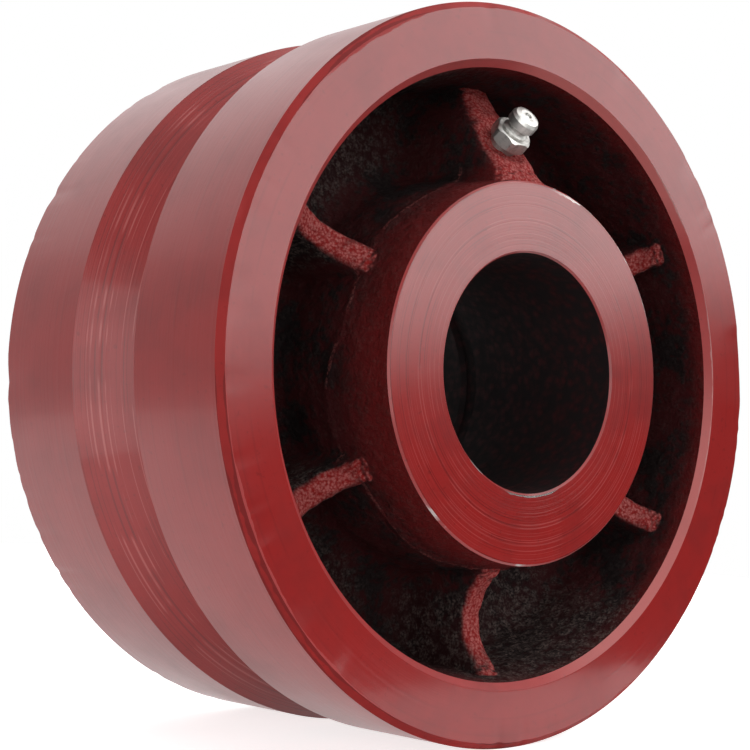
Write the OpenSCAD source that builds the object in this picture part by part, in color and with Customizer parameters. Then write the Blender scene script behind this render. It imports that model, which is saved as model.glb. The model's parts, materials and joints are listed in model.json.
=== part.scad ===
// Grooved cast-iron track wheel with a grease fitting in its hub. Millimetres.
// The axle lies along Y through the origin at the wheel's centre.
// The fitting side faces -Y, and the boss that carries the fitting stands at +Z.

/* [Tread] */
// Outside diameter of the tread
wheel_d = 152.4; // [140:0.1:200]
// Width across the two rim faces
tread_w = 76.2; // [70:0.1:80]
// Bevel on the outer edge of each rim face
tread_bevel = 1.3; // [0.3:0.1:3]
// Width of the track groove at the tread
groove_w = 22.2; // [14:0.1:26]
// Flat left at the bottom of the track groove
groove_flat = 3; // [1:0.1:6]
// Included angle of the track groove
groove_angle = 90; // [80:1:110]

/* [Rim and web] */
// Inside diameter of each rim face
rim_in_d = 129; // [122:0.1:134]
// Bevel on the inner edge of each rim face
rim_bevel = 1.5; // [0.3:0.1:3]
// Thickness of the web between hub and rim
web_t = 20; // [14:0.1:26]
// Fillet where the web meets the hub and the rim
web_fillet = 6; // [2:0.1:7]
// Draft of the cast walls, degrees
draft = 6; // [2:0.5:8]

/* [Hub] */
// Length of the hub between its two faces
hub_len = 82.55; // [80:0.05:92]
// Diameter of each hub face
hub_d = 78.6; // [72:0.1:84]
// Diameter of the axle bore
bore_d = 49.2125; // [40:0.0125:54]
// Edge break on the hub faces, outside and at the bore
hub_bevel = 0.4; // [0.2:0.1:1]
// Width of the grease groove round the bore
oil_groove_w = 5; // [4.5:0.1:10]
// Depth of the grease groove
oil_groove_depth = 1; // [0.4:0.1:2]
// How far the grease groove lies behind the middle of the bore
oil_groove_back = 2; // [0:0.1:3]

/* [Ribs] */
// Ribs on each side of the web
rib_count = 6; // [4:1:8]
// Width of a rib along its crest
rib_w = 5.4; // [4:0.1:7]
// Height of a rib above the web where it meets the hub
rib_hub_h = 23; // [16:0.1:26]
// Height of a rib above the web halfway along
rib_mid_h = 15.5; // [10:0.1:20]
// Height of a rib above the web where it meets the rim
rib_rim_h = 24; // [16:0.1:25]

/* [Fitting boss] */
// Tilt of the grease passage away from the axle, degrees
passage_tilt = 35; // [33:0.5:37]
// Drop from the hub face to the boss face, at the hub's wall
boss_drop = 2.5; // [2:0.1:4]
// Width of the boss around the fitting
boss_w = 13; // [11.5:0.1:15]
// Fillet between the boss and the hub
boss_fillet = 4; // [1:0.1:5]
// Diameter of the grease passage
passage_d = 3.2; // [2:0.1:4]
// Diameter of the spot face under the fitting
spot_d = 10.8; // [10:0.1:11.4]
// Depth of the spot face
spot_depth = 0.6; // [0.2:0.1:1.2]

/* [Grease fitting] */
// Width across the flats of the hexagon
hex_af = 7.94; // [7.4:0.01:8.4]
// Thread left showing between the seat and the hexagon
thread_show = 1.2; // [0.4:0.1:1.4]
// Height of the hexagon
hex_h = 3.2; // [2.5:0.1:3.3]
// Diameter of the threaded stem
stem_d = 6.35; // [5.5:0.05:7]
// Length of the threaded stem
stem_len = 5.2; // [5:0.1:8]
// Diameter of the neck under the head
neck_d = 4.7; // [4.3:0.1:5.4]
// Diameter of the coupling head
head_d = 6.4; // [6:0.1:6.7]
// Height of the head's tip above the seat
tip_h = 9; // [8.9:0.1:11]
// Clearance between the stem and its hole, across the diameter
thread_clearance = 0.1; // [0.04:0.02:0.2]
// Diameter of the check ball
ball_d = 2.4; // [2:0.05:2.6]
// Clearance around the check ball, across the diameter
ball_clearance = 0.4; // [0.2:0.05:0.6]
// Diameter of the inlet at the tip
inlet_d = 1.6; // [1.2:0.05:1.65]
// Wire diameter of the check spring
spring_wire = 0.3; // [0.2:0.02:0.4]
// Turns of the check spring
spring_turns = 7; // [4:1:9]

/* [Hidden] */
$fn = 96;
CAST_RED = "#8c2a28";
STEEL = "#b9b7b2";
BRIGHT_STEEL = "#d6d6d6";
SPRING_STEEL = "#8f8f8c";
EPS = 0.01;

wheel_r = wheel_d / 2;
bore_r = bore_d / 2;
hub_r = hub_d / 2;
rim_in_r = rim_in_d / 2;
rim_z = tread_w / 2;
hub_z = hub_len / 2;
web_z = web_t / 2;
groove_floor_r = wheel_r - (groove_w - groove_flat) / 2 / tan(groove_angle / 2);
hub_root_r = hub_r + (hub_z - web_z) * tan(draft);
rim_wall_r = rim_in_r - rim_bevel;
rim_root_r = rim_wall_r - (rim_z - rim_bevel - web_z) * tan(draft);
rib_length = rim_in_r - hub_r;
// Height of the boss face above the grease groove, along the axle, then along the passage.
boss_rise = hub_z - boss_drop + oil_groove_back;
boss_reach = boss_rise * cos(passage_tilt) + (hub_r - bore_r) * sin(passage_tilt);

ball_r = ball_d / 2;
chamber_r = ball_r + ball_clearance / 2;
seat_gap = 0.02;
inlet_land = 0.5;
inlet_taper = chamber_r - inlet_d / 2;
chamber_top = tip_h - inlet_land - inlet_taper;
// The ball touches the 45 degree seat along a circle below the inlet.
ball_z = chamber_top + chamber_r - ball_r * sqrt(2) - seat_gap;
crimp_h = 0.6;
chamber_floor = crimp_h - stem_len;
spring_r = ball_r - spring_wire;
spring_top = ball_z - sqrt(pow(ball_r + spring_wire / 2 + seat_gap, 2) - pow(spring_r, 2));
spring_bottom = chamber_floor + spring_wire / 2 + seat_gap;

function unit(v) = v / norm(v);
function turned(v, a) = [v[0] * cos(a) - v[1] * sin(a), v[0] * sin(a) + v[1] * cos(a)];

// Points of the arc of radius r that rounds the corner p between a and b.
function rounded(a, p, b, r, steps = 8) =
    let (
        u = unit(a - p),
        v = unit(b - p),
        half = acos(u * v) / 2,
        centre = p + unit(u + v) * r / sin(half),
        from = p + u * r / tan(half) - centre,
        to = p + v * r / tan(half) - centre,
        turn = atan2(from[0] * to[1] - from[1] * to[0], from * to)
    )
    [for (i = [0:steps]) centre + turned(from, turn * i / steps)];

// Height above the web of a rib's crest, a share t of the way from hub to rim.
function crest(t) =
    (1 - t) * (1 - 2 * t) * rib_hub_h + 4 * t * (1 - t) * rib_mid_h + t * (2 * t - 1) * rib_rim_h;

// Front half of the casting's section, from the bore round the hub, web and rim to the groove.
function half_section() =
    let (
        hub_edge = [hub_r, hub_z - hub_bevel],
        hub_root = [hub_root_r, web_z],
        rim_root = [rim_root_r, web_z],
        rim_wall = [rim_wall_r, rim_z - rim_bevel]
    )
    concat(
        [[bore_r, hub_z - hub_bevel],
         [bore_r + hub_bevel, hub_z],
         [hub_r - hub_bevel, hub_z],
         hub_edge],
        rounded(hub_edge, hub_root, rim_root, web_fillet),
        rounded(hub_root, rim_root, rim_wall, web_fillet),
        [rim_wall,
         [rim_in_r, rim_z],
         [wheel_r - tread_bevel, rim_z],
         [wheel_r, rim_z - tread_bevel],
         [wheel_r, groove_w / 2],
         [groove_floor_r, groove_flat / 2]]
    );

function mirrored(points) =
    [for (i = [len(points) - 1:-1:0]) [points[i][0], -points[i][1]]];

// Turns the axle from Z to Y, with the fitting side to -Y and the boss to +Z.
module on_axle() rotate([90, 0, 0]) children();

// Places Z along the grease passage, with its zero on the bore's wall in the grease groove.
module on_passage() translate([0, bore_r, -oil_groove_back]) rotate([-passage_tilt, 0, 0]) children();

// Places Z out of the fitting's seat.
module on_seat() on_passage() translate([0, 0, boss_reach - spot_depth]) children();

module turned_body() rotate_extrude() polygon(concat(half_section(), mirrored(half_section())));

// Side outline of a rib, from inside the hub to inside the rim.
module rib_outline() {
    steps = 12;
    buried = 4;
    foot_z = web_z - 1;
    polygon(concat(
        [[hub_r - buried, foot_z]],
        [[hub_r - buried, web_z + rib_hub_h]],
        [for (i = [0:steps]) [hub_r + rib_length * i / steps, web_z + crest(i / steps)]],
        [[rim_in_r + buried, web_z + rib_rim_h]],
        [[rim_in_r + buried, foot_z]]
    ));
}

// One rib along +X, wider at the web by the draft.
module rib() {
    top = web_z + max(rib_hub_h, rib_rim_h);
    root_w = rib_w + 2 * top * tan(draft);
    intersection() {
        rotate([90, 0, 0]) linear_extrude(root_w, center = true) rib_outline();
        rotate([90, 0, 90])
            linear_extrude(wheel_r)
                polygon([[-root_w / 2, 0], [root_w / 2, 0], [rib_w / 2, top], [-rib_w / 2, top]]);
    }
}

// Ribs of one side from number first on, the one at the boss's angle being number 0.
module ribs(first) for (i = [first:rib_count - 1]) rotate(90 + i * 360 / rib_count) rib();

// Right side of the boss seen along the axle, from inside the hub out to the rim.
function boss_side() =
    let (
        buried = 3,
        half = boss_w / 2,
        shoulder = [half * 0.95, hub_r + rib_length * 0.5],
        corner = [half, sqrt(pow(hub_r, 2) - pow(half, 2))],
        along_hub = corner + [corner[1], -half]
    )
    concat(
        [[half + boss_fillet, hub_r - buried]],
        rounded(along_hub, corner, shoulder, boss_fillet),
        [shoulder,
         [rib_w / 2, rim_in_r + 1]]
    );

// Wedge that carries the fitting in place of a rib: wide at the hub, as narrow as a rib at the rim.
module boss() {
    foot_z = web_z - 1;
    left_side = [for (p = boss_side()) [-p[0], p[1]]];
    intersection() {
        translate([0, 0, foot_z])
            linear_extrude(hub_z - hub_bevel - foot_z)
                polygon(concat(boss_side(), [for (i = [len(left_side) - 1:-1:0]) left_side[i]]));
        on_passage()
            translate([-wheel_r, -wheel_r, 0]) cube([wheel_d, wheel_d, boss_reach]);
    }
}

// Ring cut round the bore, with sides at 45 degrees.
module oil_groove() {
    inside = 1;
    half = oil_groove_w / 2;
    bottom_r = bore_r + oil_groove_depth;
    bottom_half = half - oil_groove_depth;
    translate([0, 0, -oil_groove_back])
        rotate_extrude()
            polygon([[bore_r - inside, -half - inside],
                     [bottom_r, -bottom_half],
                     [bottom_r, bottom_half],
                     [bore_r - inside, half + inside]]);
}

module wheel_casting() color(CAST_RED) on_axle() difference() {
    union() {
        turned_body();
        ribs(1);
        mirror([0, 0, 1]) ribs(0);
        boss();
    }
    cylinder(d = bore_d, h = hub_len, center = true);
    oil_groove();
    on_passage() translate([0, 0, -bore_r / 2]) cylinder(d = passage_d, h = boss_reach + bore_r);
    on_seat() cylinder(d = spot_d, h = hub_z);
    on_seat()
        translate([0, 0, -stem_len - 1])
            cylinder(d = stem_d + thread_clearance, h = stem_len + 1 + EPS);
}

// Outline of the fitting above its hexagon, revolved about the passage.
module fitting_head() {
    flare_h = 0.7;
    collar_h = 1.6;
    dome_h = 1;
    tip_r = inlet_d / 2 + 0.9;
    hex_top = thread_show + hex_h;
    head_z = tip_h - dome_h - collar_h - flare_h;
    neck_r = neck_d / 2;
    head_r = head_d / 2;
    rotate_extrude()
        polygon([[0, 0],
                 [neck_r + 0.6, 0],
                 [neck_r + 0.6, hex_top + 0.3],
                 [neck_r, hex_top + 0.8],
                 [neck_r, head_z],
                 [head_r, head_z + flare_h],
                 [head_r, head_z + flare_h + collar_h],
                 [(head_r + tip_r) / 2 + 0.3, tip_h - dome_h / 3],
                 [tip_r, tip_h],
                 [0, tip_h]]);
}

// Hexagon with its corners turned off, at both ends and round the outside.
module fitting_hexagon() translate([0, 0, thread_show]) intersection() {
    flat_r = hex_af / 2;
    corner_r = flat_r + 0.4;
    bevel_h = 0.5;
    cylinder(d = hex_af / cos(30), h = hex_h, $fn = 6);
    rotate_extrude()
        polygon([[0, 0],
                 [flat_r - 0.2, 0],
                 [corner_r, bevel_h],
                 [corner_r, hex_h - bevel_h],
                 [flat_r - 0.2, hex_h],
                 [0, hex_h]]);
}

// Ball chamber through the fitting: inlet, 45 degree seat, chamber and crimped outlet.
module fitting_chamber() {
    outlet_r = inlet_d / 2;
    rotate_extrude()
        polygon([[0, -stem_len - EPS],
                 [outlet_r, -stem_len - EPS],
                 [outlet_r, chamber_floor],
                 [chamber_r, chamber_floor],
                 [chamber_r, chamber_top],
                 [inlet_d / 2, chamber_top + inlet_taper],
                 [inlet_d / 2, tip_h + EPS],
                 [0, tip_h + EPS]]);
}

module grease_fitting_body() color(STEEL) on_axle() on_seat() difference() {
    union() {
        fitting_hexagon();
        fitting_head();
        translate([0, 0, -stem_len]) cylinder(d = stem_d, h = stem_len + thread_show + EPS);
    }
    fitting_chamber();
}

module check_ball() color(BRIGHT_STEEL) on_axle() on_seat()
    translate([0, 0, ball_z]) sphere(r = ball_r);

// Compression spring: one tube swept along a helix between the crimp and the ball.
module check_spring() {
    sides = 8;
    rings = spring_turns * 16;
    function along(i) = i / rings;
    points = [
        for (i = [0:rings])
            let (
                a = 360 * spring_turns * along(i),
                z = spring_bottom + (spring_top - spring_bottom) * along(i)
            )
            for (k = [0:sides - 1])
                let (b = 360 * k / sides, r = spring_r + spring_wire / 2 * cos(b))
                [r * cos(a), r * sin(a), z + spring_wire / 2 * sin(b)]
    ];
    walls = [
        for (i = [0:rings - 1], k = [0:sides - 1])
            let (next = (k + 1) % sides)
            [i * sides + k, (i + 1) * sides + k, (i + 1) * sides + next, i * sides + next]
    ];
    caps = [[for (k = [0:sides - 1]) k], [for (k = [sides - 1:-1:0]) rings * sides + k]];
    color(SPRING_STEEL) on_axle() on_seat() polyhedron(points, concat(walls, caps));
}

wheel_casting();
grease_fitting_body();
check_ball();
check_spring();
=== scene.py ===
"""Dresses a grooved cast track wheel and its grease fitting, and sets its stage."""

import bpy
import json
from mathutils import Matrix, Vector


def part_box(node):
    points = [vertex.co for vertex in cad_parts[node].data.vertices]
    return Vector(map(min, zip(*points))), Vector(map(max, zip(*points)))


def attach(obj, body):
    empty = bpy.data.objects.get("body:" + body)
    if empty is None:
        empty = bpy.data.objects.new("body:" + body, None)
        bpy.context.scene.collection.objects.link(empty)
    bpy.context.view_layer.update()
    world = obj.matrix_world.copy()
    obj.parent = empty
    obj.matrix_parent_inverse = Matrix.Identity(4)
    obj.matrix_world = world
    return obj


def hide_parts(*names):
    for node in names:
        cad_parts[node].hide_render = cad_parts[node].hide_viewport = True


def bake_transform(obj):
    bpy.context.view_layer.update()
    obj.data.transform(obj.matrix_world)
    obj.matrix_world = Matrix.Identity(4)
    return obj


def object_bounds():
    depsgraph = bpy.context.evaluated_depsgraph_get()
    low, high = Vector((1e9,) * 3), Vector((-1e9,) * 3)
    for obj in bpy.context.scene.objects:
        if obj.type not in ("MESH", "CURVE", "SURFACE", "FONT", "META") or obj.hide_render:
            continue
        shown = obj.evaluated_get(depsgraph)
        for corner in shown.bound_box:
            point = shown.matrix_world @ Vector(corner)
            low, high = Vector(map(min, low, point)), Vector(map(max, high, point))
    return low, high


bl_info = {
    "name": "Grooved Track Wheel",
    "version": (1, 0, 0),
    "blender": (4, 5, 0),
    "location": "View3D > Sidebar > Track Wheel",
    "description": "Builds the cast skin, finishes and stage of a grooved track wheel",
    "category": "Object",
}

import json
import math

import bmesh
import bpy
import numpy as np
from bpy.props import FloatProperty, FloatVectorProperty, IntProperty, PointerProperty
from bpy.types import Operator, Panel, PropertyGroup
from mathutils import Matrix, Vector, noise

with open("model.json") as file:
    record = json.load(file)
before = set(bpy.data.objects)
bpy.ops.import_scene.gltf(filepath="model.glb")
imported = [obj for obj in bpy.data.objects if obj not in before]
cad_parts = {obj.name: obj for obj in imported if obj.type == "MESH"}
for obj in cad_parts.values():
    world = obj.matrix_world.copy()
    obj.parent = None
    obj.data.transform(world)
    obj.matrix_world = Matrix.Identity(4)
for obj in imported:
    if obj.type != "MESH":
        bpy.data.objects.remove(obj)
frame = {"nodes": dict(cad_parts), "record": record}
CAD_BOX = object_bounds()
WHEEL_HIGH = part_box("wheel_casting")[1]
MM = 0.001
# Regions of the casting's skin, in the order of its material slots.
BORE, HUB_FACE, HUB_EDGE, RECESS, RIM_BEVEL, RIM_FACE, TREAD_EDGE, TREAD, GROOVE = range(9)
# The casting's seam on the hub wall: its height, and its slow wave and quicker ripple round the wheel.
SEAM_HEIGHT, SEAM_BEAD, SEAM_WIDTH = 28 * MM, 0.45 * MM, 0.9 * MM
SEAM_WAVE, SEAM_WAVES, SEAM_WAVE_START = 2.2 * MM, 3, 0.8
SEAM_RIPPLE, SEAM_RIPPLES = 1.2 * MM, 7
# Worn and gritty zones, and zones of painted light: an angle round the wheel, and how far the zone spreads to
# each side, in degrees. The grit zones are the pockets where light falls in, and there pale grains and glints
# are painted as light; the bevel's pale zones are painted highlight bands.
HUB_CHIPS, HUB_NICK, BORE_CHIPS = (52, 34), (-127, 7), (-70, 46)
HUB_EDGE_CHIPS, HUB_EDGE_NICKS = (52, 40), (-100, 50)
LIT_POCKET_UPPER, LIT_POCKET_LOWER, LIT_POCKET_BOTTOM = (142, 46), (-142, 36), (-75, 30)
BEVEL_LIT_LOW, BEVEL_LIT_HIGH, BEVEL_CHIPS = (-38, 46), (62, 34), (20, 50)
FACE_RAGGED_TOP, FACE_RAGGED_LEFT = (118, 22), (190, 60)
RIM_SPOT_LEFT, RIM_SPOT_TOP = (179, 6), (80, 10)
# Steps of the skin's mesh along the front recess, the rear one, the edges and elsewhere, and round each rib.
FINE_STEP, COARSE_STEP, EDGE_STEP, WIDE_STEP = 0.85 * MM, 1.3 * MM, 0.7 * MM, 6 * MM
TURNS_PER_RIB = 84
# Sizes of the sand-cast lumps, as noise per metre, and their shares of the relief.
CAST_LUMPS = ((130.0, 0.8), (420.0, 0.75), (1100.0, 0.5))
# The camera: degrees round the wheel, above it and of roll, and metres away, to the right and up.
EYE_AZIMUTH, EYE_ELEVATION, EYE_ROLL = -41.34, -3.33, 1.26
EYE_AWAY, EYE_RIGHT, EYE_UP = 0.3645, -0.0047, 0.00079
# The floor's middle and radius, and the far wall's radius, foot and top, in metres.
FLOOR_X, FLOOR_Y, FLOOR_RADIUS = 0.06, 0.34, 0.46
WALL_RADIUS, WALL_FOOT, WALL_TOP = 6.0, -0.9, 5.0
FLOOR_SIDES, WALL_SIDES = 96, 64


def length(name, description, default):
    """A size in metres, shown in the scene's units."""
    return FloatProperty(
        name=name, description=description, default=default, min=0.0,
        precision=5, subtype="DISTANCE", unit="LENGTH",
    )


def tint(name, description, default):
    """A linear colour."""
    return FloatVectorProperty(
        name=name, description=description, default=default, size=3,
        min=0.0, max=1.0, subtype="COLOR",
    )


class WheelSizes(PropertyGroup):
    """Sizes of the casting, the same as in the part's source."""

    tread_radius: length("Tread radius", "Radius of the tread", WHEEL_HIGH[0])
    hub_half: length("Hub half length", "From the wheel's middle to a hub face", WHEEL_HIGH[1])
    rim_half: length("Rim half width", "From the wheel's middle to a rim face", 38.1 * MM)
    tread_bevel: length("Tread bevel", "Bevel on the outer edge of a rim face", 1.3 * MM)
    groove_width: length("Groove width", "Width of the track groove at the tread", 22.2 * MM)
    groove_flat: length("Groove flat", "Flat at the bottom of the groove", 3.0 * MM)
    rim_in_radius: length("Rim inner radius", "Inner radius of a rim face", 64.5 * MM)
    rim_bevel: length("Rim bevel", "Bevel on the inner edge of a rim face", 1.5 * MM)
    web_half: length("Web half thickness", "Half the thickness of the web", 10.0 * MM)
    web_fillet: length("Web fillet", "Fillet between web, hub and rim", 6.0 * MM)
    hub_radius: length("Hub radius", "Radius of a hub face", 39.3 * MM)
    bore_radius: length("Bore radius", "Radius of the axle bore", 24.60625 * MM)
    hub_bevel: length("Hub bevel", "Edge break on a hub face", 0.4 * MM)
    oil_groove_width: length("Grease groove width", "Width of the groove in the bore", 5.0 * MM)
    oil_groove_depth: length("Grease groove depth", "Depth of the groove in the bore", 1.0 * MM)
    oil_groove_back: length("Grease groove back", "How far the groove lies behind the middle", 2.0 * MM)
    draft: FloatProperty(
        name="Draft", description="Draft of the cast walls", default=math.radians(6.0), subtype="ANGLE"
    )
    rib_count: IntProperty(name="Ribs", description="Ribs on each side", default=6, min=3)
    rib_width: length("Rib width", "Width of a rib along its crest", 5.4 * MM)
    rib_hub_height: length("Rib height at hub", "Above the web", 23.0 * MM)
    rib_mid_height: length("Rib height halfway", "Above the web", 15.5 * MM)
    rib_rim_height: length("Rib height at rim", "Above the web", 24.0 * MM)
    boss_width: length("Boss width", "Width of the boss around the fitting", 13.0 * MM)
    boss_fillet: length("Boss fillet", "Fillet between the boss and the hub", 4.0 * MM)
    boss_drop: length("Boss drop", "From the hub face to the boss face, at the hub's wall", 2.5 * MM)
    passage_tilt: FloatProperty(
        name="Passage tilt", description="Tilt of the grease passage away from the axle",
        default=math.radians(35.0), subtype="ANGLE",
    )
    spot_radius: length("Spot face radius", "Radius of the spot face under the fitting", 5.4 * MM)
    spot_depth: length("Spot face depth", "Depth of the spot face", 0.6 * MM)
    cast_relief: length("Cast relief", "Height of the sand-cast roughness", 0.42 * MM)


class WheelFinish(PropertyGroup):
    """Colours of the wheel and its fitting."""

    enamel: tint("Enamel", "Oxide-red enamel", (0.275, 0.0125, 0.0115))
    enamel_dark: tint("Dark enamel", "Enamel where it is thick or dirty", (0.12, 0.006, 0.006))
    # Painted shade: the red paint of the sand-cast skin, darkened for the shade inside the recesses and the
    # bore.
    shaded_cast_skin: tint("Cast skin", "Thin paint over the sand-cast skin", (0.036, 0.0045, 0.0052))
    # Painted shade: the near-black that stands for the shade deep in the recesses, in their crevices and in
    # the bore.
    deep_shade: tint("Soot", "Grime in the recesses", (0.0070, 0.0040, 0.0043))
    # Bare iron for the chips, and also the colour of the glints painted on the recess grain as highlights.
    bare_metal_and_glint: tint("Bare metal", "Iron where the enamel is worn off", (0.38, 0.35, 0.34))
    # Partly painted light: pale warm grey of sand grains, painted brightest in the pockets where light falls.
    lit_sand_crumb: tint("Crumbs", "Burnt sand that clings to the recesses", (0.115, 0.080, 0.071))
    # Pale enamel of the lathe rings, and also the painted highlights on the rib crests, along the hub wall's
    # seam and on the rim bevel.
    pale_and_lit_enamel: tint("Rubbed enamel", "Enamel rubbed pale on the rib crests", (0.48, 0.135, 0.125))
    plated: tint("Plating", "Zinc plating of the fitting", (0.52, 0.51, 0.485))
    wire: tint("Spring wire", "Drawn wire", (0.34, 0.34, 0.33))


class StageSetup(PropertyGroup):
    """Camera and lamps."""

    focal_length: FloatProperty(
        name="Focal length", description="Lens, in millimetres", default=78.48, subtype="DISTANCE_CAMERA"
    )
    front_power: FloatProperty(
        name="Front lamp", description="Power of the soft box to the right of the fitting side", default=10.0,
        subtype="POWER", unit="POWER",
    )
    back_power: FloatProperty(
        name="Back lamp", description="Power of the soft box that the tread mirrors", default=1.7,
        subtype="POWER", unit="POWER",
    )
    top_power: FloatProperty(
        name="Top lamp", description="Power of the soft box overhead", default=7.0,
        subtype="POWER", unit="POWER",
    )
    near_power: FloatProperty(
        name="Near lamp", description="Power of the small soft box behind the camera", default=4.6,
        subtype="POWER", unit="POWER",
    )
    sky: FloatProperty(name="Sky", description="Strength of the even light", default=0.28, min=0.0)


def round_corner(a, p, b, radius, steps):
    """Points of the arc that rounds the corner p between a and b."""
    u = (a - p) / np.linalg.norm(a - p)
    v = (b - p) / np.linalg.norm(b - p)
    half = math.acos(float(u @ v)) / 2
    centre = p + (u + v) / np.linalg.norm(u + v) * radius / math.sin(half)
    start = p + u * radius / math.tan(half) - centre
    end = p + v * radius / math.tan(half) - centre
    turn = math.atan2(start[0] * end[1] - start[1] * end[0], float(start @ end))
    arc = []
    for i in range(steps + 1):
        c, s = math.cos(turn * i / steps), math.sin(turn * i / steps)
        arc.append(centre + np.array((start[0] * c - start[1] * s, start[0] * s + start[1] * c)))
    return arc


class Section:
    """Closed section of the wheel as rings, each with its region and whether its edge is sharp."""

    def __init__(self):
        self.points = []
        self.regions = []
        self.sharp = []

    def line(self, a, b, step, region, sharp=True):
        """Rings from a up to, and without, b; the first one is sharp if asked."""
        a, b = np.array(a, float), np.array(b, float)
        count = max(1, round(float(np.linalg.norm(b - a)) / step))
        for i in range(count):
            self.points.append(a + (b - a) * i / count)
            self.regions.append(region)
            self.sharp.append(sharp and i == 0)

    def chain(self, corners, step, region, sharp=True):
        """Rings along several corners, soft at the inner ones."""
        for i in range(len(corners) - 1):
            self.line(corners[i], corners[i + 1], step, region, sharp and i == 0)


def wheel_section(s):
    """The section in radius and distance towards the fitting side, in metres."""
    hub_z = s.hub_half
    hub_root = np.array((s.hub_radius + (hub_z - s.web_half) * math.tan(s.draft), s.web_half))
    wall_r = s.rim_in_radius - s.rim_bevel
    wall_z = s.rim_half - s.rim_bevel
    rim_root = np.array((wall_r - (wall_z - s.web_half) * math.tan(s.draft), s.web_half))
    hub_edge = np.array((s.hub_radius, hub_z - s.hub_bevel))
    rim_wall = np.array((wall_r, wall_z))
    recess = [hub_edge]
    recess += round_corner(hub_edge, hub_root, rim_root, s.web_fillet, 10)
    recess += round_corner(hub_root, rim_root, rim_wall, s.web_fillet, 10)
    recess.append(rim_wall)
    groove_r = s.tread_radius - (s.groove_width - s.groove_flat) / 2
    flip = np.array((1, -1))
    oil_low = -s.oil_groove_back - s.oil_groove_width / 2
    oil_high = oil_low + s.oil_groove_width
    oil_r = s.bore_radius + s.oil_groove_depth
    bore_z = hub_z - s.hub_bevel
    out = Section()
    out.line((s.bore_radius, -bore_z), (s.bore_radius, oil_low), WIDE_STEP, BORE)
    out.line((s.bore_radius, oil_low), (oil_r, oil_low + s.oil_groove_depth), WIDE_STEP, BORE)
    out.line((oil_r, oil_low + s.oil_groove_depth), (oil_r, oil_high - s.oil_groove_depth), WIDE_STEP, BORE)
    out.line((oil_r, oil_high - s.oil_groove_depth), (s.bore_radius, oil_high), WIDE_STEP, BORE)
    out.line((s.bore_radius, oil_high), (s.bore_radius, bore_z), WIDE_STEP, BORE)
    out.line((s.bore_radius, bore_z), (s.bore_radius + s.hub_bevel, hub_z), WIDE_STEP, HUB_EDGE)
    out.line((s.bore_radius + s.hub_bevel, hub_z), (s.hub_radius - s.hub_bevel, hub_z), WIDE_STEP, HUB_FACE)
    out.line((s.hub_radius - s.hub_bevel, hub_z), hub_edge, WIDE_STEP, HUB_EDGE)
    out.chain(recess, FINE_STEP, RECESS)
    out.line(rim_wall, (s.rim_in_radius, s.rim_half), WIDE_STEP, RIM_BEVEL)
    face_out = s.tread_radius - s.tread_bevel
    out.line((s.rim_in_radius, s.rim_half), (face_out, s.rim_half), WIDE_STEP / 2, RIM_FACE)
    out.line((face_out, s.rim_half), (s.tread_radius, s.rim_half - s.tread_bevel), EDGE_STEP, TREAD_EDGE)
    lip = s.groove_width / 2
    flat = s.groove_flat / 2
    out.line((s.tread_radius, s.rim_half - s.tread_bevel), (s.tread_radius, lip), WIDE_STEP, TREAD)
    out.line((s.tread_radius, lip), (groove_r, flat), WIDE_STEP, GROOVE)
    out.line((groove_r, flat), (groove_r, -flat), WIDE_STEP, GROOVE)
    out.line((groove_r, -flat), (s.tread_radius, -lip), WIDE_STEP, GROOVE)
    out.line((s.tread_radius, -lip), (s.tread_radius, s.tread_bevel - s.rim_half), WIDE_STEP, TREAD)
    out.line((s.tread_radius, s.tread_bevel - s.rim_half), (face_out, -s.rim_half), EDGE_STEP, TREAD_EDGE)
    out.line((face_out, -s.rim_half), (s.rim_in_radius, -s.rim_half), WIDE_STEP / 2, RIM_FACE)
    out.line((s.rim_in_radius, -s.rim_half), rim_wall * flip, WIDE_STEP, RIM_BEVEL)
    out.chain([p * flip for p in reversed(recess)], COARSE_STEP, RECESS)
    out.line(hub_edge * flip, (s.hub_radius - s.hub_bevel, -hub_z), WIDE_STEP, HUB_EDGE)
    out.line((s.hub_radius - s.hub_bevel, -hub_z), (s.bore_radius + s.hub_bevel, -hub_z), WIDE_STEP, HUB_FACE)
    out.line((s.bore_radius + s.hub_bevel, -hub_z), (s.bore_radius, -bore_z), WIDE_STEP, HUB_EDGE)
    return out


def soft_max(a, b, blend):
    """The larger of a and b, with a fillet of about that size."""
    h = np.clip(0.5 + 0.5 * (a - b) / blend, 0, 1)
    return b + (a - b) * h + blend * h * (1 - h)


def rounded_drop(s, across, half):
    """How far a rib's top has fallen at a distance from its middle: round, then steep by the draft."""
    edge = half + 0.35 * MM
    share = np.minimum(np.abs(across) / edge, 1)
    steep = np.maximum(np.abs(across) - edge, 0) / math.tan(s.draft)
    return 2.0 * MM * (1 - np.sqrt(1 - share**3)) + steep


def rib_angles(count, per_rib):
    """Angles round the wheel, closer together at the ribs."""
    t = np.linspace(-1, 1, per_rib, endpoint=False)
    warped = 0.45 * t + 0.55 * t**3
    pitch = 2 * math.pi / count
    return np.concatenate([math.pi / 2 + pitch * (i + warped / 2) for i in range(count)])


def off_rib(s, angle):
    """Angle from the nearest rib."""
    pitch = 2 * math.pi / s.rib_count
    return (angle - math.pi / 2 + pitch / 2) % pitch - pitch / 2


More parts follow.
